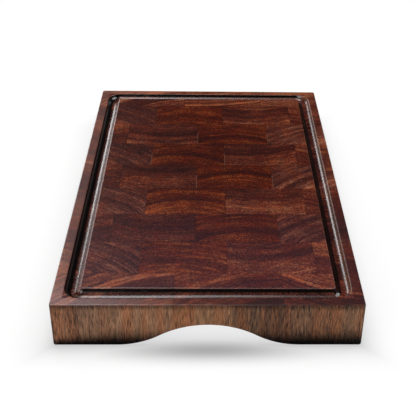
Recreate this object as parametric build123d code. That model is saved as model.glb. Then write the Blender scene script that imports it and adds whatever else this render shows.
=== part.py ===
from build123d import *
import os
from math import atan2, cos, sin

# End-grain butcher block board: blocks glued up in rows, with a juice groove round the top
# and an arched finger grip under each short end.
# Millimetres. X runs across the width, Y from the front end to the back end, Z up.
# The origin is the middle of the underside.

# Board
board_width = 317.5
board_length = 508.0
board_thickness = 53.0

# Rows, counted from the front end. The two end rows are as deep as the finger grips.
inner_row_count = 7
end_row_depth = 52.75

# Blocks of an inner row: one full block each side of a middle seam, and edge blocks
# that fill the row out to the sides. Seams are offset from the board's centre line,
# to the right in even rows and to the left in odd rows, so that rows break joint.
block_width = 94.4
even_seam_offset = 20.3
odd_seam_offset = 15.0

# Blocks of an end row: a middle block between two edge blocks
end_block_width = 111.1
end_block_offset = 20.6

# Juice groove, a round-bottomed channel that follows the board's outline
rim_width = 11.2
groove_width = 16.0
groove_depth = 7.0
groove_inner_radius = 3.0
groove_arris = 1.6

# Finger grip, an ogee arch: a crest arc between two foot arcs. The crest arc's share
# of the two radii taken together sets how broad the crest is.
grip_span = 188.0
grip_height = 26.5
grip_crest_share = 0.53

# Eased outer edges
corner_radius = 2.5
top_arris = 1.0
bottom_arris = 2.0

# Cuts run this far past the faces that they open
cut_overrun = 5.0

# Worked out from the sizes above
half_width = board_width / 2
half_length = board_length / 2
row_depth = (board_length - 2 * end_row_depth) / inner_row_count
last_row = inner_row_count + 2


def board_blank():
    outline = RectangleRounded(board_width, board_length, corner_radius)
    blank = extrude(outline, board_thickness)
    return fillet(blank.faces().sort_by(Axis.Z)[-1].edges(), top_arris)


def front_grip():
    # Crest and foot arcs turn through one angle, so the arch leaves the underside level
    # and peaks level.
    half_span = grip_span / 2
    turn = 2 * atan2(grip_height, half_span)
    crest_radius = grip_crest_share * half_span / sin(turn)
    join_x = crest_radius * sin(turn)
    join_z = grip_height - crest_radius * (1 - cos(turn))
    left_foot = TangentArc((-half_span, 0), (-join_x, join_z), tangent=(1, 0))
    crest = ThreePointArc((-join_x, join_z), (0, grip_height), (join_x, join_z))
    right_foot = TangentArc((half_span, 0), (join_x, join_z), tangent=(-1, 0))
    mouth = Polyline((half_span, 0), (half_span, -cut_overrun), (-half_span, -cut_overrun), (-half_span, 0))
    arch = make_face([left_foot, crest, right_foot, mouth])
    run = extrude(Plane.XZ * arch, end_row_depth + cut_overrun)
    return Pos(0, end_row_depth - half_length, 0) * run


def bottom_outer_edges(board):
    # The underside's outline, which climbs over the finger grips at the short ends
    low_edges = board.edges().filter_by(Axis.Z, reverse=True).filter_by(
        lambda edge: edge.center().Z < board_thickness / 2
    )
    return low_edges.filter_by(
        lambda edge: abs(edge.center().X) > half_width - corner_radius
        or abs(edge.center().Y) > half_length - corner_radius
    )


def juice_groove():
    path_inset = rim_width + groove_width / 2
    path_radius = groove_inner_radius + groove_width / 2
    path_width = board_width - 2 * path_inset
    path_length = board_length - 2 * path_inset
    outline = RectangleRounded(path_width, path_length, path_radius)
    path = Pos(0, 0, board_thickness) * outline.wire()
    along = path % 0
    across = Vector(0, 0, 1).cross(along)
    half_groove = groove_width / 2
    channel = ThreePointArc((-half_groove, 0), (0, -groove_depth), (half_groove, 0))
    opening = Polyline(
        (half_groove, 0), (half_groove, cut_overrun), (-half_groove, cut_overrun), (-half_groove, 0)
    )
    section = Plane(origin=path @ 0, x_dir=across, z_dir=along) * make_face([channel, opening])
    return sweep(section, path=path)


def groove_edges(board):
    top_faces = board.faces().filter_by(Axis.Z).group_by(Axis.Z)[-1].sort_by(SortBy.AREA)
    rim, field = top_faces
    return rim.inner_wires().edges() + field.outer_wire().edges()


def whole_board():
    grip = front_grip()
    board = board_blank() - grip - mirror(grip, Plane.XZ)
    board = fillet(bottom_outer_edges(board), bottom_arris)
    board = board - juice_groove()
    return fillet(groove_edges(board), groove_arris)


def row_name(row):
    if row == 1:
        return "front_end"
    if row == last_row:
        return "back_end"
    return f"row_{row}"


def row_limits(row):
    # Front and back of a row. The end rows' cells run past the board.
    first_seam = end_row_depth - half_length
    front = first_seam + (row - 2) * row_depth
    back = front + row_depth
    if row == 1:
        front = -half_length - cut_overrun
    if row == last_row:
        back = half_length + cut_overrun
    return front, back


def block_seams(row):
    # Seams between a row's blocks, named by the block to the right of each
    if row in (1, last_row):
        left_seam = end_block_offset - end_block_width / 2
        return {"middle": left_seam, "right": left_seam + end_block_width}
    middle_seam = even_seam_offset if row % 2 == 0 else -odd_seam_offset
    return {
        "left_middle": middle_seam - block_width,
        "right_middle": middle_seam,
        "right_edge": middle_seam + block_width,
    }


def block_cells(row):
    seams = block_seams(row)
    first_place = "left" if row in (1, last_row) else "left_edge"
    places = [first_place] + list(seams)
    limits = [-half_width - cut_overrun] + list(seams.values()) + [half_width + cut_overrun]
    front, back = row_limits(row)
    for place, left, right in zip(places, limits, limits[1:]):
        cell = Box(right - left, back - front, board_thickness + 2 * cut_overrun)
        yield place, Pos((left + right) / 2, (front + back) / 2, board_thickness / 2) * cell


os.makedirs("parts", exist_ok=True)
board = whole_board()
for row in range(1, last_row + 1):
    for place, cell in block_cells(row):
        block = board & cell
        export_step(block, f"parts/{row_name(row)}_{place}_block.step")
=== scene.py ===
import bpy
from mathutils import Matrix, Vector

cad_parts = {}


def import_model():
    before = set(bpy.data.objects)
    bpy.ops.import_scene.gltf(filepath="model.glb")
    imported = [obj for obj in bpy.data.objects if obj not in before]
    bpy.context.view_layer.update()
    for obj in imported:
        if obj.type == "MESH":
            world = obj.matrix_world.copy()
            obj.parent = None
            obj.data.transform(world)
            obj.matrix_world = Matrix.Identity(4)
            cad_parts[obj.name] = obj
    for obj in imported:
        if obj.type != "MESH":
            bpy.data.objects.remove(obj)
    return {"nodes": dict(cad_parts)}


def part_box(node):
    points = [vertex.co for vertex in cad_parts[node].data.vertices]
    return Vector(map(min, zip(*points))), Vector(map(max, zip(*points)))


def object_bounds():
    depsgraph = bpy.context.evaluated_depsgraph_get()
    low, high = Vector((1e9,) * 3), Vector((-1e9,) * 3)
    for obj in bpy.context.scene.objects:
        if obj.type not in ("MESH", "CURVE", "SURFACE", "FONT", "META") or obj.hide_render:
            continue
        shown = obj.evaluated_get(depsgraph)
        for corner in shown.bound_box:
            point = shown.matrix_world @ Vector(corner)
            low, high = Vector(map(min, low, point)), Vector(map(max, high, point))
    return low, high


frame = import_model()
cadBox = [list(corner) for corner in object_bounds()]

import math
from types import SimpleNamespace

import bpy
import numpy as np
from mathutils import Matrix

print("frame loaded:", len(frame["nodes"]), "blocks")

# sizes of the board that the finish follows, in mm; the outer sizes come from the frame
millimetres = 1000.0
board = {
    "halfWidth": cadBox[1][0] * millimetres,
    "halfLength": cadBox[1][1] * millimetres,
    "thickness": cadBox[1][2] * millimetres,
    "rim": 11.2,
    "groove": 16.0,
    "grooveDepth": 7.0,
}


# shorthand for node trees
def feed(tree, target, source):
    # a socket is linked, a plain number or tuple is set, and a colour is opaque
    if isinstance(source, bpy.types.NodeSocket):
        tree.links.new(source, target)
    elif target.type == "RGBA":
        target.default_value = (*source, 1.0)
    else:
        target.default_value = source


def toolsFor(tree):
    noiseMiddle = 0.5   # the mean of Blender's noise

    def node(kind, settings, inputs):
        made = tree.nodes.new("ShaderNode" + kind)
        for name, setting in settings.items():
            setattr(made, name, setting)
        for name, source in inputs.items():
            feed(tree, made.inputs[name], source)
        return made

    def maths(operation, *sources):
        return node("Math", {"operation": operation}, dict(enumerate(sources))).outputs[0]

    def vector(operation, *sources):
        return node("VectorMath", {"operation": operation}, dict(enumerate(sources))).outputs[0]

    def scaled(source, factor):
        return node("VectorMath", {"operation": "SCALE"}, {0: source, "Scale": factor}).outputs[0]

    def split(source):
        return node("SeparateXYZ", {}, {0: source}).outputs

    def join(x, y, z):
        return node("CombineXYZ", {}, {0: x, 1: y, 2: z}).outputs[0]

    def product(*values):
        result = values[0]
        for value in values[1:]:
            result = maths("MULTIPLY", result, value)
        return result

    def total(*values):
        result = values[0]
        for value in values[1:]:
            result = maths("ADD", result, value)
        return result

    def negative(value):
        return maths("MULTIPLY", value, -1.0)

    def without(share):
        return maths("SUBTRACT", 1.0, share)

    def ranged(share, low, high):
        # low at 0, high at 1
        return total(maths("MULTIPLY", share, high - low), low)

    def smooth(value, low, high):
        # 0 below low, 1 above high, an S curve between
        made = node("MapRange", {"interpolation_type": "SMOOTHSTEP"},
                    {"Value": value, "From Min": low, "From Max": high})
        return made.outputs[0]

    def bell(across, along):
        # exp(-(across^2 + along^2))
        squares = total(product(across, across), product(along, along))
        return maths("EXPONENT", negative(squares))

    def noise(place, detail=2.0, roughness=0.5):
        made = node("TexNoise", {"noise_dimensions": "3D"},
                    {"Vector": place, "Scale": 1.0, "Detail": detail, "Roughness": roughness})
        return made.outputs

    def noiseAlong(distance, scale, detail, roughness=0.5):
        made = node("TexNoise", {"noise_dimensions": "1D"},
                    {"W": distance, "Scale": scale, "Detail": detail, "Roughness": roughness})
        return made.outputs[0]

    def swing(value, amount):
        # a noise made to swing round 0
        return maths("MULTIPLY", maths("SUBTRACT", value, noiseMiddle), amount)

    def sway(colour):
        # a noise's three channels made to swing round 0
        return vector("SUBTRACT", colour, (noiseMiddle,) * 3)

    def ramp(value, stops):
        made = node("ValToRGB", {}, {"Fac": value})
        elements = made.color_ramp.elements
        while len(elements) < len(stops):
            elements.new(1.0)
        for element, (position, colour) in zip(elements, stops):
            element.position = position
            element.color = (*colour, 1.0)
        return made.outputs[0]

    def mixed(share, first, second):
        made = node("Mix", {"data_type": "RGBA"}, {0: share, 6: first, 7: second})
        return made.outputs[2]

    def tinted(colour, tint):
        made = node("Mix", {"data_type": "RGBA", "blend_type": "MULTIPLY"}, {0: 1.0, 6: colour, 7: tint})
        return made.outputs[2]

    return SimpleNamespace(
        node=node, maths=maths, vector=vector, scaled=scaled, split=split, join=join,
        product=product, total=total, negative=negative, without=without, ranged=ranged, smooth=smooth,
        bell=bell, noise=noise, noiseAlong=noiseAlong, swing=swing, sway=sway,
        ramp=ramp, mixed=mixed, tinted=tinted)


def newGroup(name, inputs, outputs):
    group = bpy.data.node_groups.new(name, "ShaderNodeTree")
    for way, sockets in (("INPUT", inputs), ("OUTPUT", outputs)):
        for label, kind in sockets.items():
            group.interface.new_socket(label, in_out=way, socket_type="NodeSocket" + kind)
    given = group.nodes.new("NodeGroupInput").outputs
    wanted = group.nodes.new("NodeGroupOutput").inputs
    return group, toolsFor(group), given, wanted


def newMaterial(name):
    material = bpy.data.materials.new(name)
    material.use_nodes = True
    material.node_tree.nodes.clear()
    return material, material.node_tree, toolsFor(material.node_tree)


def showOn(tree, shader):
    output = tree.nodes.new("ShaderNodeOutputMaterial")
    tree.links.new(shader, output.inputs["Surface"])


white = (1.0, 1.0, 1.0)

# growth rings: a point's distance from the stave's pith, after a slow bend of the whole figure
ringShape = {
    "bendAcross": 62.0,      # mm from one bend to the next, across and along the fibre
    "bendAlong": 300.0,
    "bendDetail": 3.0,
    "bendRoughness": 0.42,
    "seedStep": 97.0,        # mm along the fibre from one seed's wood to the next
}


def growthRingsGroup():
    group, use, given, wanted = newGroup(
        "growthRings",
        {"Place": "Vector", "Middle": "Vector", "Turned": "Float", "Pith": "Vector",
         "Bend": "Float", "Seed": "Float"},
        {"Grain": "Vector", "Radius": "Float", "Angle": "Float"})
    local = use.scaled(use.vector("SUBTRACT", given["Place"], given["Middle"]), millimetres)
    local = use.vector("MULTIPLY", local, use.join(given["Turned"], 1.0, 1.0))
    ahead = use.maths("MULTIPLY", given["Seed"], ringShape["seedStep"])
    grain = use.vector("ADD", local, use.join(0.0, 0.0, ahead))
    across = 1 / ringShape["bendAcross"]
    slow = use.vector("MULTIPLY", grain, (across, across, 1 / ringShape["bendAlong"]))
    bend = use.sway(use.noise(slow, ringShape["bendDetail"], ringShape["bendRoughness"])[1])
    bent = use.vector("ADD", local, use.scaled(bend, given["Bend"]))
    fromPith = use.vector("MULTIPLY", use.vector("SUBTRACT", bent, given["Pith"]), (1.0, 1.0, 0.0))
    length = use.node("VectorMath", {"operation": "LENGTH"}, {0: fromPith}).outputs["Value"]
    x, y, z = use.split(fromPith)
    feed(group, wanted["Grain"], grain)
    feed(group, wanted["Radius"], length)
    feed(group, wanted["Angle"], use.maths("ARCTAN2", y, x))
    return group


# Where on the board a point is, in mm. A pair without a note of its own is where a change starts and ends.
zones = {
    # across the groove, counted from the rim's inner edge (outer) and from the field's edge (inner)
    "grooveOuter": (-1.5, 0.0),
    "grooveInner": (-1.0, 0.2),
    "easedOuter": (-2.5, -1.5),
    "easedInner": (1.5, 2.5),
    "rimEdge": (-0.5, 0.5),
    # down from the top: the groove's eased edges, walls, and where its painted shade and oily gloss begin;
    # down from its bed: what is below
    "arris": (0.01, 0.15),
    "wall": (0.3, 0.9),
    "grooveWood": (0.8, 2.8),
    "belowBed": (0.3, 1.0),
    # towards the right: the end of the painted highlight on the groove's walls
    "paleRight": (-60, 20),
    # a painted highlight on the rim at the front left: where it ends, and how much of it is left along the
    # left rim
    "bloomBack": (-250, -190),
    "bloomRight": (-140, -20),
    "bloomAlong": 0.25,
    # a painted sheen over the front of the field: where it ends, and how much of it the rim loses
    "haze": (-230, 10),
    "hazeRim": 0.6,
    # tone of the rim above the staves' own, more at the back, and less at the front right, where shade is
    # painted
    "rimLift": 0.08,
    "rimBack": (238, 248),
    "rimBackLift": 0.22,
    "rimShadeRight": (-20, 90),
    "rimShadeBack": (-230, 90),
    "rimShade": 0.28,
    # tone of the field: lighter at the back and at the right, darker in an oily patch
    "fieldBack": (110, 170),
    "fieldBackLift": 0.06,
    "fieldRight": (20, 80),
    "fieldRightLift": 0.05,
    "patchMiddle": (-4, 84),       # right and back
    "patchHalf": (52, 46),         # half width and half depth
    "patchShade": 0.19,
    "smudge": 48.0,                # from one oily smudge to the next
    # height of the painted shade along the foot of the sides, and change of tone of the short ends, by the
    # place across
    "foot": [(-158, 7), (-95, 18), (80, 17), (158, 19)],
    "endTone": [(-158, -.28), (-140, -.20), (-122, -.06), (-112, -.02), (0, .0), (50, .04), (100, .07),
                (120, .17), (158, .17)],
    "endReach": (4.0, 12.0),       # in from a short end, where that change ends
    "underReach": (3.0, 16.0),     # in from a side, where the painted shade of the foot ends on the underside
    "lip": (1.0, 9.0),             # down from the top, where the painted shade under the sides' upper edge ends
    "seam": (0.06, 0.45),          # away from a seam, where its dark line ends
    "glue": (0.3, 0.5),            # away from a seam, where a thread of glue ends
    "glueReach": 6.0,              # past the block's middle, where the thread ends
}
zoneLabels = ("Groove", "Arris", "Wall", "Pale", "Rim", "Bloom", "Haze", "Place Tone", "Smudge",
              "End Tone", "Lift", "Edge", "Lip", "Seam", "Glue")


def boardZonesGroup():
    group, use, given, wanted = newGroup(
        "boardZones", {"Place": "Vector", "Low": "Vector", "High": "Vector"},
        {label: "Float" for label in zoneLabels})
    x, y, z = use.split(use.scaled(given["Place"], millimetres))
    sideways = use.maths("SUBTRACT", board["halfWidth"], use.maths("ABSOLUTE", x))
    endways = use.maths("SUBTRACT", board["halfLength"], use.maths("ABSOLUTE", y))
    inset = use.maths("MINIMUM", sideways, endways)
    depth = use.maths("SUBTRACT", board["thickness"], z)
    rimEnd = board["rim"]
    fieldStart = board["rim"] + board["groove"]

    def past(value, key, start=0.0):
        low, high = zones[key]
        return use.smooth(value, start + low, start + high)

    def before(value, key, start=0.0):
        return use.without(past(value, key, start))

    # the groove, its walls and its eased edges
    within = use.product(past(inset, "grooveOuter", rimEnd), before(inset, "grooveInner", fieldStart))
    below = use.product(past(depth, "grooveWood"), before(depth, "belowBed", board["grooveDepth"]))
    feed(group, wanted["Groove"], use.product(within, below))
    eased = use.product(past(inset, "easedOuter", rimEnd), before(inset, "easedInner", fieldStart))
    arris = use.product(eased, past(depth, "arris"))
    feed(group, wanted["Arris"], arris)
    feed(group, wanted["Wall"], use.product(eased, past(depth, "wall")))
    feed(group, wanted["Pale"], use.product(arris, before(x, "paleRight")))

    # the rim, its painted highlight, and the painted sheen over the front
    onRim = before(inset, "rimEdge", rimEnd)
    feed(group, wanted["Rim"], onRim)
    rimHighlight = use.ranged(before(y, "bloomBack"), zones["bloomAlong"], 1.0)
    feed(group, wanted["Bloom"], use.product(onRim, rimHighlight, before(x, "bloomRight")))
    haze = use.ranged(onRim, 1.0, 1 - zones["hazeRim"])
    feed(group, wanted["Haze"], use.product(haze, before(y, "haze")))

    # tone by the place on the rim and on the field, where an oily patch falls off in a bell shape:
    # patch = depth * exp(-(across / half width)^2 - (along / half depth)^2)
    # painted shade on the rim at the front right
    shady = use.product(past(x, "rimShadeRight"), before(y, "rimShadeBack"))
    rimTone = use.total(zones["rimLift"], use.maths("MULTIPLY", past(y, "rimBack"), zones["rimBackLift"]),
                        use.maths("MULTIPLY", shady, -zones["rimShade"]))
    patch = use.bell(*(use.maths("DIVIDE", use.maths("SUBTRACT", place, middle), half)
                       for place, middle, half in zip((x, y), zones["patchMiddle"], zones["patchHalf"])))
    fieldTone = use.total(use.maths("MULTIPLY", past(y, "fieldBack"), zones["fieldBackLift"]),
                          use.maths("MULTIPLY", past(x, "fieldRight"), zones["fieldRightLift"]),
                          use.maths("MULTIPLY", patch, -zones["patchShade"]))
    placeTone = use.total(use.product(onRim, rimTone), use.product(use.without(onRim), fieldTone))
    feed(group, wanted["Place Tone"], placeTone)
    slow = use.scaled(given["Place"], millimetres / zones["smudge"])
    feed(group, wanted["Smudge"], use.noise(slow)[0])

    # the sides: Lift is the height above the table, counted in heights of the painted shade along the foot
    width = 2 * board["halfWidth"]
    across = use.maths("DIVIDE", use.total(x, board["halfWidth"]), width)

    def byPlace(table):
        # a value that follows a table of places across the board; the ramp itself holds 0 to 1
        lowest = min(value for place, value in table)
        highest = max(value for place, value in table)
        stops = [((place + board["halfWidth"]) / width, ((value - lowest) / (highest - lowest),) * 3)
                 for place, value in table]
        return use.ranged(use.ramp(across, stops), lowest, highest)

    feed(group, wanted["End Tone"], use.product(byPlace(zones["endTone"]), before(endways, "endReach")))
    feed(group, wanted["Lift"], use.maths("DIVIDE", z, byPlace(zones["foot"])))
    feed(group, wanted["Edge"], before(inset, "underReach"))
    feed(group, wanted["Lip"], before(depth, "lip"))

    # the block's own seams, and a thread of glue in the front half of the left one
    lowX, lowY, lowZ = use.split(given["Low"])
    highX, highY, highZ = use.split(given["High"])
    left = use.maths("SUBTRACT", x, lowX)
    right = use.maths("SUBTRACT", highX, x)
    front = use.maths("SUBTRACT", y, lowY)
    back = use.maths("SUBTRACT", highY, y)
    nearest = use.maths("MINIMUM", use.maths("MINIMUM", left, right), use.maths("MINIMUM", front, back))
    feed(group, wanted["Seam"], before(nearest, "seam"))
    middle = use.maths("DIVIDE", use.total(lowY, highY), 2.0)
    frontHalf = use.without(use.smooth(y, middle, use.total(middle, zones["glueReach"])))
    feed(group, wanted["Glue"], use.product(before(left, "glue"), frontHalf))
    return group


# noise along the fibres: mm across and along, detail and roughness
fibres = {
    "fade": (26.0, 300.0, 1.0, 0.55),      # where rings come and go
    "cast": (15.0, 300.0, 2.0, 0.55),      # slow drift of the colour
    "streaks": (3.2, 75.0, 3.0, 0.55),
    "mottle": (1.6, 18.0, 2.0, 0.55),
    "speckles": (0.9, 9.0, 2.0, 0.60),
    "dashes": (0.8, 12.0, 1.0, 0.55),      # pores cut lengthwise on the sides
}


def fibreNoises(use, grain):
    wood = SimpleNamespace()
    for name, (across, along, detail, roughness) in fibres.items():
        squeezed = use.vector("MULTIPLY", grain, (1 / across, 1 / across, 1 / along))
        setattr(wood, name, use.noise(squeezed, detail, roughness)[0])
    return wood


# soft bands of several rings, and single rings from pale early wood to a thin dark late line
ringFigure = {
    "bandLength": 9.0,          # mm from one soft band to the next
    "bandDetail": 4.0,
    "bandRoughness": 0.62,
    "bandSwing": 3.3,
    "bandSeed": 31.0,
    "fade": (0.30, 0.66),       # how rings come and go along their length, and how much is always left
    "fadeLeast": 0.25,
    "wanderPerMm": 0.05,        # slow drift of the rings' places, in rings
    "wanderDetail": 2.0,
    "wanderRings": 2.2,
    "wanderSeed": 53.0,
    "latePower": 3.0,           # how thin the late line is, and how soft the early wood
    "earlyPower": 2.5,
    "lateTone": 0.8,
    "earlyTone": 0.6,
    "strength": (0.3, 1.2),     # the weakest ring and the strongest
}


def ringTone(use, given, wood):
    bandSeed = use.maths("MULTIPLY", given["Seed"], ringFigure["bandSeed"])
    bandPlace = use.total(use.maths("DIVIDE", given["Radius"], ringFigure["bandLength"]), bandSeed)
    bands = use.noiseAlong(bandPlace, 1.0, ringFigure["bandDetail"], ringFigure["bandRoughness"])
    fade = use.ranged(use.smooth(wood.fade, *ringFigure["fade"]), ringFigure["fadeLeast"], 1.0)
    bandTone = use.product(use.swing(bands, ringFigure["bandSwing"]), given["Figure"], fade)

    wanderPlace = use.total(given["Radius"], use.maths("MULTIPLY", given["Seed"], ringFigure["wanderSeed"]))
    wander = use.noiseAlong(wanderPlace, ringFigure["wanderPerMm"], ringFigure["wanderDetail"])
    place = use.total(use.maths("DIVIDE", given["Radius"], given["Ring Width"]),
                      use.maths("MULTIPLY", wander, ringFigure["wanderRings"]))
    part = use.maths("FRACT", place)
    wood.late = use.maths("POWER", part, ringFigure["latePower"])
    wood.early = use.maths("POWER", use.without(part), ringFigure["earlyPower"])
    line = use.total(use.maths("MULTIPLY", wood.early, ringFigure["earlyTone"]),
                     use.maths("MULTIPLY", wood.late, -ringFigure["lateTone"]))
    own = use.node("TexWhiteNoise", {"noise_dimensions": "1D"}, {"W": use.maths("FLOOR", place)}).outputs[0]
    lineTone = use.product(line, given["Lines"], use.ranged(own, *ringFigure["strength"]), fade)
    return use.total(bandTone, lineTone)


# fine grain: pores, rows of pores along the rings, rays across them, and how far each swings the tone
fineGrain = {
    "poresPerMm": (0.95, 0.95, 0.075),    # across the fibre, and along it
    "poreRadius": (0.14, 0.28),           # in late wood and in early wood, in pore distances
    "poreEdge": (-0.06, 0.05),
    "dash": (0.53, 0.68),
    "raysPerRadian": 75.0,
    "raysPerMm": 0.12,
    "rayDetail": 1.0,
    "hatchAcross": 1.1,                   # mm from one row of pores to the next, and along a row
    "hatchAlong": 16.0,
    "hatchDetail": 2.0,
    "hatchRoughness": 0.55,
    "hatchSeed": 31.0,
    "streakSwing": 0.45,
    "mottleSwing": 0.55,
    "speckleSwing": 1.15,
    "raySwing": 0.16,
    "hatchSwing": 0.82,
    "poreShade": 0.30,
    "dashShade": 0.42,
}


def fineTone(use, given, wood):
    poreCells = use.vector("MULTIPLY", given["Grain"], fineGrain["poresPerMm"])
    fromPore = use.node("TexVoronoi", {"voronoi_dimensions": "3D", "feature": "F1"},
                        {"Vector": poreCells, "Scale": 1.0}).outputs[0]
    poreRadius = use.ranged(wood.early, *fineGrain["poreRadius"])
    poreEdge = [use.total(poreRadius, step) for step in fineGrain["poreEdge"]]
    wood.pores = use.without(use.smooth(fromPore, *poreEdge))
    dashes = use.smooth(wood.dashes, *fineGrain["dash"])
    rayPlace = use.join(use.maths("MULTIPLY", given["Angle"], fineGrain["raysPerRadian"]),
                        use.maths("MULTIPLY", given["Radius"], fineGrain["raysPerMm"]), 0.0)
    rays = use.noise(rayPlace, fineGrain["rayDetail"])[0]
    arc = use.product(given["Angle"], given["Radius"])
    hatchPlace = use.join(use.maths("DIVIDE", given["Radius"], fineGrain["hatchAcross"]),
                          use.maths("DIVIDE", arc, fineGrain["hatchAlong"]),
                          use.maths("MULTIPLY", given["Seed"], fineGrain["hatchSeed"]))
    hatch = use.noise(hatchPlace, fineGrain["hatchDetail"], fineGrain["hatchRoughness"])[0]
    onEnds = use.total(use.swing(rays, fineGrain["raySwing"]), use.swing(hatch, fineGrain["hatchSwing"]))
    return use.total(use.swing(wood.streaks, fineGrain["streakSwing"]),
                     use.swing(wood.mottle, fineGrain["mottleSwing"]),
                     use.swing(wood.speckles, fineGrain["speckleSwing"]),
                     use.product(onEnds, wood.endGrain),
                     use.maths("MULTIPLY", wood.pores, -fineGrain["poreShade"]),
                     use.product(dashes, wood.sides, -fineGrain["dashShade"]))


# oiled walnut, in linear colour: end grain drinks the oil and goes dark, long grain stays brown
walnut = {
    # colour by tone, from dark to light
    "endGrain": [(0.0, (0.010, 0.0012, 0.0009)), (0.25, (0.021, 0.0026, 0.0015)),
                 (0.5, (0.046, 0.0052, 0.0021)), (0.75, (0.104, 0.0190, 0.0056)),
                 (1.0, (0.265, 0.074, 0.023))],
    "longGrain": [(0.0, (0.030, 0.012, 0.008)), (0.3, (0.112, 0.049, 0.025)),
                  (0.6, (0.256, 0.104, 0.042)), (1.0, (0.440, 0.198, 0.083))],
    "endFaces": (0.2, 0.9),       # how squarely a face looks up or down, from long grain to end grain
    "sideFigure": 0.14,           # share of the rings' contrast left on the sides, and of the fine grain's
    "sideFine": 0.88,
    "sideTone": 0.56,             # the tone that the sides draw towards, and how far
    "sideDraw": 0.45,
    "smudgeSwing": 0.55,
    "seamShade": 0.24,
    "warm": (1.06, 0.94, 0.86),   # casts that drift through the wood, one to the other
    "cool": (0.94, 1.08, 1.22),
    "cast": (0.36, 0.64),
    # painted shade of the recess: the groove's wood tinted darker and purpler
    "grooveTint": (0.62, 0.52, 0.66),
    "shadyTint": (0.02, 0.02, 0.03),       # painted shade: groove walls that face right, or steeply to the front, tinted near black
    "shadyRight": (0.02, 0.30),
    "shadyFront": (0.70, 0.86),
    "footTint": (0.012, 0.009, 0.02),      # painted shade along the foot of the sides, its end in foot heights, and its fray
    "foot": (0.2, 1.5),
    "footFray": 0.2,
    # painted shade under the sides' upper edge
    "lipTint": (0.45, 0.42, 0.42),
    "dry": (0.30, 0.22, 0.215),            # painted highlight, its share on the rim, and on groove walls that face left
    "bloomShare": 0.32,
    "paleShare": 0.50,
    "paleLeft": (0.45, 0.70),
    "haze": (0.30, 0.16, 0.26),            # painted sheen over the front of the field, and how much of it shows
    "hazeShare": 0.036,
    "glue": (0.26, 0.14, 0.09),
}


def walnutTone(use, given, wood):
    rings = use.product(ringTone(use, given, wood), use.ranged(wood.endGrain, walnut["sideFigure"], 1.0))
    fine = use.product(fineTone(use, given, wood), use.ranged(wood.endGrain, walnut["sideFine"], 1.0))
    toSide = use.maths("SUBTRACT", walnut["sideTone"], given["Tone"])
    return use.total(given["Tone"], use.product(toSide, wood.sides, walnut["sideDraw"]), rings, fine,
                     given["Place Tone"], use.product(given["End Tone"], wood.sides),
                     use.product(use.swing(given["Smudge"], walnut["smudgeSwing"]), wood.endGrain),
                     use.maths("MULTIPLY", given["Seam"], -walnut["seamShade"]))


def walnutColour(use, given, wood, tone):
    longGrain = use.ramp(tone, walnut["longGrain"])
    colour = use.mixed(wood.endGrain, longGrain, use.ramp(tone, walnut["endGrain"]))
    colour = use.node("HueSaturation", {}, {"Saturation": given["Saturation"], "Color": colour}).outputs[0]
    cast = use.smooth(wood.cast, *walnut["cast"])
    colour = use.tinted(colour, use.mixed(cast, walnut["warm"], walnut["cool"]))

    # painted shade: the darker groove, the dark foot of the sides and the shade under the sides' upper edge
    # painted shade along the foot of the sides, fading upwards
    lift = use.total(given["Lift"], use.swing(wood.streaks, walnut["footFray"]))
    foot = use.product(given["Edge"], use.without(use.smooth(lift, *walnut["foot"])))
    for share, tint in ((given["Groove"], "grooveTint"), (wood.shadyWall, "shadyTint"), (foot, "footTint"),
                        (use.product(given["Lip"], wood.sides), "lipTint")):
        colour = use.tinted(colour, use.mixed(share, white, walnut[tint]))

    # painted highlight, painted sheen and glue lie on top
    cloudy = use.total(wood.streaks, wood.mottle)
    dry = use.total(use.product(given["Bloom"], wood.endGrain, walnut["bloomShare"]),
                    use.product(given["Pale"], wood.leftWall, walnut["paleShare"]))
    colour = use.mixed(use.product(dry, cloudy), colour, walnut["dry"])
    frontSheenMask = use.product(given["Haze"], wood.endGrain, use.without(given["Groove"]), cloudy,
                       walnut["hazeShare"])
    colour = use.mixed(frontSheenMask, colour, walnut["haze"])
    return use.mixed(use.product(given["Glue"], wood.endGrain, wood.speckles), colour, walnut["glue"])


# roughness of the oiled wood: satin field, duller rim and eased edges, oily groove and shady walls
sheen = {
    "field": 0.27,
    "fieldSpeckles": 0.12,
    "fieldStreaks": 0.10,
    "fieldPores": 0.06,
    "rim": 0.31,
    "rimMottle": 0.14,
    "groove": 0.26,
    "grooveMottle": 0.20,
    "arris": 0.5,
    "shady": 0.15,
}


def walnutRoughness(use, given, wood):
    rough = use.total(sheen["field"], use.swing(wood.speckles, sheen["fieldSpeckles"]),
                      use.swing(wood.streaks, sheen["fieldStreaks"]),
                      use.maths("MULTIPLY", wood.pores, sheen["fieldPores"]))
    rim = use.total(sheen["rim"], use.swing(wood.mottle, sheen["rimMottle"]))
    groove = use.total(sheen["groove"], use.swing(wood.mottle, sheen["grooveMottle"]))
    for share, own in ((use.product(given["Rim"], wood.endGrain), rim), (given["Arris"], sheen["arris"]),
                       (given["Groove"], groove), (wood.shadyWall, sheen["shady"])):
        rough = use.total(use.product(rough, use.without(share)), use.product(share, own))
    return rough


# depth of what the bump shows, and the share of it that is left on the field and in the groove
relief = {"pores": 0.7, "late": 0.25, "speckles": 0.5, "seam": 0.8, "onField": 0.08, "inGroove": 0.6}


def walnutHeight(use, given, wood):
    height = use.total(use.maths("MULTIPLY", wood.pores, -relief["pores"]),
                       use.maths("MULTIPLY", wood.late, -relief["late"]),
                       use.swing(wood.speckles, relief["speckles"]),
                       use.maths("MULTIPLY", given["Seam"], -relief["seam"]))
    return use.product(height, use.ranged(given["Groove"], relief["onField"], relief["inGroove"]))


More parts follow.
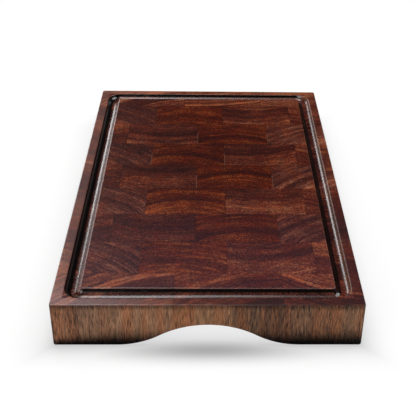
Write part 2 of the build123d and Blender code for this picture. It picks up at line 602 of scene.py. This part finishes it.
def walnutGroup():
    group, use, given, wanted = newGroup(
        "walnut",
        {"Grain": "Vector", "Radius": "Float", "Angle": "Float", "Tone": "Float", "Ring Width": "Float",
         "Figure": "Float", "Lines": "Float", "Saturation": "Float", "Seed": "Float",
         **{label: "Float" for label in zoneLabels}},
        {"Colour": "Color", "Roughness": "Float", "Height": "Float"})
    wood = fibreNoises(use, given["Grain"])
    rightward, backward, upward = use.split(use.node("NewGeometry", {}, {}).outputs["Normal"])
    wood.endGrain = use.smooth(use.maths("ABSOLUTE", upward), *walnut["endFaces"])
    wood.sides = use.without(wood.endGrain)
    # groove walls that face left, where a highlight is painted
    wood.leftWall = use.smooth(use.negative(rightward), *walnut["paleLeft"])
    # painted shade on the groove walls that face right or steeply to the front
    shady = use.maths("MAXIMUM", use.smooth(rightward, *walnut["shadyRight"]),
                      use.smooth(use.negative(backward), *walnut["shadyFront"]))
    wood.shadyWall = use.product(given["Wall"], shady)
    tone = walnutTone(use, given, wood)
    feed(group, wanted["Colour"], walnutColour(use, given, wood, tone))
    feed(group, wanted["Roughness"], walnutRoughness(use, given, wood))
    feed(group, wanted["Height"], walnutHeight(use, given, wood))
    return group


groups = {"rings": growthRingsGroup(), "zones": boardZonesGroup(), "walnut": walnutGroup()}
print("walnut groups made:", ", ".join(groups))

# One sawn stave each: where its pith lies from the middle of its end (mm, right and back), how wide its
# rings are (mm), and its tone from the pith outwards (mm from the pith, 0 dark to 1 light).
staves = {
    "edgeDark": {
        "pith": (-68, -118), "ringWidth": 3.1, "figure": 0.36, "lines": 0.36, "bend": 6, "saturation": 0.93,
        "tones": [(95, .66), (112, .70), (121, .64), (125, .44), (150, .50), (170, .40), (190, .50),
                  (215, .44)],
    },
    "innerArch": {
        "pith": (-5, -95), "ringWidth": 3.8, "figure": 0.34, "lines": 0.12, "bend": 9, "saturation": 1.03,
        "tones": [(60, .48), (72, .54), (84, .60), (90, .58), (94, .36), (98, .32), (104, .46), (110, .54),
                  (113, .60), (116, .53), (126, .46), (150, .48)],
    },
    "innerBowl": {
        "pith": (-12, 140), "ringWidth": 3.8, "figure": 0.34, "lines": 0.12, "bend": 9, "saturation": 0.97,
        "tones": [(100, .46), (114, .42), (126, .40), (132, .30), (138, .28), (142, .48), (150, .52),
                  (157, .54), (160, .62), (167, .60), (185, .50)],
    },
    "edgeLight": {
        "pith": (20, 190), "ringWidth": 4.2, "figure": 0.26, "lines": 0.12, "bend": 6, "saturation": 0.98,
        "tones": [(150, .58), (165, .64), (180, .58), (187, .62), (190, .42), (205, .46), (225, .40)],
    },
    "endLeft": {
        "pith": (94, -176), "ringWidth": 6.0, "figure": 0.34, "lines": 0.50, "bend": 5, "saturation": 0.96,
        "tones": [(150, .54), (176, .52), (181, .38), (197, .36), (203, .50), (206, .70), (212, .72),
                  (216, .54), (232, .58), (258, .54)],
    },
    "endMiddle": {
        "pith": (70, -180), "ringWidth": 4.4, "figure": 0.34, "lines": 0.22, "bend": 5, "saturation": 1.0,
        "tones": [(140, .30), (167, .28), (167.8, .56), (180, .52), (186, .40), (202, .38), (206, .52),
                  (209, .80), (211, .76), (214, .56), (230, .56), (250, .52)],
    },
    "endRight": {
        "pith": (63, 145), "ringWidth": 5.4, "figure": 0.34, "lines": 0.40, "bend": 4, "saturation": 0.98,
        "tones": [(120, .60), (133, .62), (153, .64), (156, .80), (158, .56), (160, .36), (166, .34),
                  (170, .52), (174, .56), (176, .40), (178, .58), (181, .42), (183.5, .56), (186, .42),
                  (188, .56), (190, .44), (193, .56), (205, .52)],
    },
    "farMiddle": {
        "pith": (-45, 290), "ringWidth": 4.6, "figure": 0.30, "lines": 0.12, "bend": 4, "saturation": 0.98,
        "tones": [(250, .56), (285, .54), (300, .52), (309, .54), (311, .82), (313, .80), (316, .50),
                  (340, .48)],
    },
    "farRight": {
        "pith": (0, 300), "ringWidth": 4.4, "figure": 0.28, "lines": 0.14, "bend": 4, "saturation": 0.96,
        "tones": [(260, .60), (300, .56), (312, .56), (314, .70), (316, .56), (321, .56), (322.5, .70),
                  (324, .52), (345, .54)],
    },
}

# Inner rows are slices of one panel of four staves; every other slice is turned over.
panel = {
    "places": ("left_edge", "left_middle", "right_middle", "right_edge"),
    "staves": ("edgeDark", "innerArch", "innerBowl", "edgeLight"),
    "drift": 8.0,              # mm that the pith wanders, and its turns from row to row, right and back
    "driftTurns": (1.9, 1.3),
    "toneDrift": 0.06,         # change of tone, and its turn from row to row
    "toneTurn": 2.7,
    "seedPerRow": 0.37,
}
# End rows are three blocks each, with a lift of tone above their staves' own.
endRows = {
    "front_end": {"row": 1, "lift": 0.05, "left": "endLeft", "middle": "endMiddle", "right": "endRight"},
    "back_end": {"row": 9, "lift": 0.02, "left": "endLeft", "middle": "farMiddle", "right": "farRight"},
}
# blocks whose left seam shows a pale thread of glue
gluedBlocks = ("row_7_right_middle_block", "row_7_right_edge_block", "row_6_left_middle_block",
               "row_6_right_middle_block", "row_5_right_middle_block", "row_5_right_edge_block")
# oil finish: the same on every block, bump distance in metres
finish = {"specular": 0.5, "bumpStrength": 0.35, "bumpDistance": 0.00022}
# the board's own sides are no seams: a block's side that touches one (mm) is moved away from it (mm)
noSeam = {"touch": 0.5, "away": 50.0}


def boxOf(name):
    # low and high corner of a block, in mm
    return [np.array(corner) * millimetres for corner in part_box(name)]


def placeOf(name):
    # front_end_left_block lies in the row front_end, at the place left
    first, second, place = name.removesuffix("_block").split("_", 2)
    return first + "_" + second, place


def staveOf(name):
    # the block's stave, its row, whether the slice is turned over, the middle of the whole stave in mm,
    # the stave's pith and the lift of its tone
    rowName, place = placeOf(name)
    low, high = boxOf(name)
    middle = (low + high) / 2
    if rowName in endRows:
        end = endRows[rowName]
        right, back = staves[end[place]]["pith"]
        return end[place], end["row"], False, middle, (right, back, 0.0), end["lift"]
    row = int(rowName.removeprefix("row_"))
    turned = row % 2 == 1
    order = panel["staves"][::-1] if turned else panel["staves"]
    staveName = order[panel["places"].index(place)]
    fullLow, fullHigh = boxOf(rowName + "_left_middle_block")
    halfStave = (fullHigh[0] - fullLow[0]) / 2
    if place == "left_edge":
        middle[0] = high[0] - halfStave   # edge blocks are staves cut down at the board's side
    if place == "right_edge":
        middle[0] = low[0] + halfStave
    right, back = staves[staveName]["pith"]
    rightTurn, backTurn = panel["driftTurns"]
    right += panel["drift"] * math.sin(row * rightTurn)
    back += panel["drift"] * math.cos(row * backTurn)
    lift = panel["toneDrift"] * math.sin(row * panel["toneTurn"] + len(staveName))
    return staveName, row, turned, middle, (right, back, 0.0), lift


def seamBox(name):
    # the block's box, with the board's own sides moved out of reach
    low, high = boxOf(name)
    outside = np.array([board["halfWidth"], board["halfLength"]])
    low[:2] -= np.where(low[:2] < noSeam["touch"] - outside, noSeam["away"], 0.0)
    high[:2] += np.where(high[:2] > outside - noSeam["touch"], noSeam["away"], 0.0)
    return tuple(low), tuple(high)


def walnutMaterial(name):
    staveName, row, turned, middle, pith, lift = staveOf(name)
    stave = staves[staveName]
    seed = panel["seedPerRow"] * row + list(staves).index(staveName)
    material, tree, use = newMaterial(name + "_walnut")

    def grouped(key, inputs):
        made = tree.nodes.new("ShaderNodeGroup")
        made.node_tree = groups[key]
        for label, source in inputs.items():
            feed(tree, made.inputs[label], source)
        return made.outputs

    place = use.node("TexCoord", {}, {}).outputs["Object"]
    rings = grouped("rings", {
        "Place": place, "Middle": tuple(middle / millimetres), "Turned": -1.0 if turned else 1.0,
        "Pith": pith, "Bend": float(stave["bend"]), "Seed": seed})

    # the stave's own tones, laid out from its innermost ring to its outermost
    first = stave["tones"][0][0]
    last = stave["tones"][-1][0]
    outward = use.node("MapRange", {}, {
        "Value": rings["Radius"], "From Min": float(first), "From Max": float(last)}).outputs[0]
    stops = [((reach - first) / (last - first), (tone + lift,) * 3) for reach, tone in stave["tones"]]

    low, high = seamBox(name)
    zone = grouped("zones", {"Place": place, "Low": low, "High": high})
    places = {label: zone[label] for label in zoneLabels}
    if name not in gluedBlocks:
        places["Glue"] = 0.0
    surface = grouped("walnut", {
        "Grain": rings["Grain"], "Radius": rings["Radius"], "Angle": rings["Angle"],
        "Tone": use.ramp(outward, stops), "Ring Width": stave["ringWidth"], "Figure": stave["figure"],
        "Lines": stave["lines"], "Saturation": stave["saturation"], "Seed": seed, **places})
    bump = use.node("Bump", {}, {
        "Strength": finish["bumpStrength"], "Distance": finish["bumpDistance"],
        "Height": surface["Height"]})
    shader = use.node("BsdfPrincipled", {}, {
        "Base Color": surface["Colour"], "Roughness": surface["Roughness"], "Normal": bump.outputs[0],
        "Specular IOR Level": finish["specular"]})
    showOn(tree, shader.outputs[0])
    return material


for name, block in frame["nodes"].items():
    block.data.materials.clear()
    block.data.materials.append(walnutMaterial(name))
print("walnut on", len(frame["nodes"]), "blocks")

# Floor, in metres: clean white paper a hair below the board, with a painted shadow close to it
floor = {
    "radius": 40.0,
    "height": -0.0001,
    "rings": 24,
    "crowding": 3,                  # the rings lie closer towards the middle, by this power
    "turns": 96,
    "colour": (0.92, 0.92, 0.92),
    "paper": 0.15,                  # share of lit paper in the clean white, which keeps the lamps' shadows
    "contact": 0.36,                # painted shadow at the board's outline, and how far it reaches
    "contactReach": 0.014,
    "pool": 0.60,                   # painted shadow before each grip, its middle ahead of the end, and its halves
    "poolAhead": 0.008,
    "poolHalfWidth": 0.10,
    "poolHalfDepth": 0.016,
    "mirrorReach": (0.05, 0.60),    # mirrored in the wood, the paper is clean only this far from the board,
    "mirrorShade": 0.10,            # and nearer it keeps this share of its brightness: painted shade
}


def floorDisc():
    # rings of points round the middle: point = (reach * cos turn, reach * sin turn, height)
    reaches = np.linspace(0, 1, floor["rings"]) ** floor["crowding"] * floor["radius"]
    turns = np.linspace(0, 2 * math.pi, floor["turns"], endpoint=False)
    reach, turn = np.meshgrid(reaches, turns, indexing="ij")
    height = np.full_like(reach, floor["height"])
    points = np.stack([reach * np.cos(turn), reach * np.sin(turn), height], -1)[1:].reshape(-1, 3)
    points = np.vstack([points, [[0.0, 0.0, floor["height"]]]])
    index = np.arange(len(points) - 1).reshape(-1, floor["turns"])
    ahead = np.roll(index, -1, axis=1)
    quads = np.stack([index[:-1], index[1:], ahead[1:], ahead[:-1]], -1).reshape(-1, 4).tolist()
    middle = len(points) - 1
    fan = [[middle, a, b] for a, b in zip(index[0], ahead[0])]
    mesh = bpy.data.meshes.new("floor")
    mesh.from_pydata(points.tolist(), [], quads + fan)
    mesh.update()
    disc = bpy.data.objects.new("floor", mesh)
    bpy.context.scene.collection.objects.link(disc)
    return disc


def floorMaterial():
    # painted shadow: contact = depth * exp(-distance / reach), pool = depth * exp(-(across^2 + ahead^2)) in
    # its halves
    material, tree, use = newMaterial("studioPaper")
    rays = use.node("LightPath", {}, {}).outputs
    seen = rays["Is Camera Ray"]
    mirrored = use.maths("MAXIMUM", rays["Is Glossy Ray"], rays["Is Transmission Ray"])
    x, y, z = use.split(use.node("TexCoord", {}, {}).outputs["Object"])
    aside = use.maths("SUBTRACT", use.maths("ABSOLUTE", x), cadBox[1][0])
    ahead = use.maths("SUBTRACT", use.maths("ABSOLUTE", y), cadBox[1][1])
    away = use.maths("MAXIMUM", aside, ahead)
    reaches = use.maths("DIVIDE", use.maths("ABSOLUTE", away), floor["contactReach"])
    contact = use.maths("MULTIPLY", use.maths("EXPONENT", use.negative(reaches)), floor["contact"])
    poolAhead = use.maths("SUBTRACT", ahead, floor["poolAhead"])
    pool = use.bell(use.maths("DIVIDE", x, floor["poolHalfWidth"]),
                    use.maths("DIVIDE", poolAhead, floor["poolHalfDepth"]))
    shade = use.maths("MAXIMUM", contact, use.maths("MULTIPLY", pool, floor["pool"]))
    clean = use.node("Emission", {}, {"Color": white, "Strength": use.without(use.product(shade, seen))})
    paperTint = use.mixed(mirrored, white, (floor["mirrorShade"],) * 3)
    paper = use.node("BsdfDiffuse", {}, {"Color": use.tinted(floor["colour"], paperTint)})
    cleanShare = use.total(use.maths("MULTIPLY", seen, 1 - floor["paper"]),
                           use.product(mirrored, use.smooth(away, *floor["mirrorReach"])))
    shader = use.node("MixShader", {}, {0: cleanShare, 1: paper.outputs[0], 2: clean.outputs[0]})
    showOn(tree, shader.outputs[0])
    return material


disc = floorDisc()
disc.data.materials.append(floorMaterial())
print("floor laid")

# Lamps, in metres: place, the point that each looks at, width and depth, and power
lampTarget = (0.0, 0.0, 0.03)
lampHeight = 1.25


def around(bearing, rise, distance):
    # degrees from straight behind the board (right is +), degrees above the table, metres from the target
    turn = math.radians(bearing)
    lift = math.radians(rise)
    way = np.array((math.sin(turn) * math.cos(lift), math.cos(turn) * math.cos(lift), math.sin(lift)))
    return {"place": np.array(lampTarget) + distance * way, "aim": lampTarget}


def above(right, back):
    return {"place": (right, back, lampHeight), "aim": (right, back, 0.0)}


lamps = {
    "sideGlint": {**around(-33, 10.5, 2.2), "size": (0.95, 0.62), "power": 13.0},
    "sideGlintHigh": {**around(-32, 20.5, 2.2), "size": (0.85, 0.25), "power": 6.0},
    "overLeft": {**above(-0.26, 0.20), "size": (0.34, 0.75), "power": 8.2},
    "overMiddle": {**above(0.02, -0.15), "size": (0.22, 0.60), "power": 2.3},
    "overRight": {**above(0.23, -0.05), "size": (0.20, 0.50), "power": 0.2},
    "rightBank": {**around(78, 46, 2.1), "size": (1.3, 1.3), "power": 30.5},
    "frontFill": {**around(-140, 24, 2.2), "size": (1.6, 1.2), "power": 28.0},
}
world = {"colour": white, "strength": 0.03}


def aimed(place, aim):
    # local -Z looks from place to aim, local Y stays up
    back = np.array(place) - np.array(aim)
    back = back / np.linalg.norm(back)
    right = np.cross((0.0, 0.0, 1.0), back)
    if not right.any():
        right = np.array((1.0, 0.0, 0.0))   # a lamp that looks straight down
    right = right / np.linalg.norm(right)
    up = np.cross(back, right)
    matrix = Matrix.Identity(4)
    for column, axis in enumerate((right, up, back, place)):
        for line in range(3):
            matrix[line][column] = axis[line]
    return matrix


for name, lamp in lamps.items():
    light = bpy.data.lights.new(name, "AREA")
    light.shape = "RECTANGLE"
    light.size, light.size_y = lamp["size"]
    light.energy = lamp["power"]
    lampObject = bpy.data.objects.new(name, light)
    lampObject.matrix_world = aimed(lamp["place"], lamp["aim"])
    bpy.context.scene.collection.objects.link(lampObject)

studio = bpy.data.worlds.new("studio")
studio.use_nodes = True
background = studio.node_tree.nodes["Background"]
feed(studio.node_tree, background.inputs["Color"], world["colour"])
feed(studio.node_tree, background.inputs["Strength"], world["strength"])
bpy.context.scene.world = studio
print("lamps set:", ", ".join(lamps))

# Camera, solved from the board's outline in a square frame; the frame is off the lens axis by the shift.
# Place and clip in metres, turns in degrees, sensor in mm.
view = {
    "place": (-0.0012, -0.91247, 0.58757),
    "yaw": 1.9929,
    "down": 32.4751,
    "roll": 1.3079,
    "focalPixels": 843.55,
    "shiftPixels": 24.24,
    "framePixels": 416,
    "sensor": 36.0,
    "clip": (0.01, 200.0),
}
camera = bpy.data.cameras.new("camera")
camera.sensor_width = view["sensor"]
camera.lens = view["sensor"] * view["focalPixels"] / view["framePixels"]
camera.shift_x = -view["shiftPixels"] / view["framePixels"]
camera.clip_start, camera.clip_end = view["clip"]
cameraObject = bpy.data.objects.new("camera", camera)
pan = Matrix.Rotation(math.radians(-view["yaw"]), 4, "Z")
tilt = Matrix.Rotation(math.radians(90 - view["down"]), 4, "X")
lean = Matrix.Rotation(math.radians(view["roll"]), 4, "Z")
cameraObject.matrix_world = Matrix.Translation(view["place"]) @ pan @ tilt @ lean
bpy.context.scene.collection.objects.link(cameraObject)
bpy.context.scene.camera = cameraObject
bpy.context.scene.view_settings.view_transform = "Standard"
print("camera set")
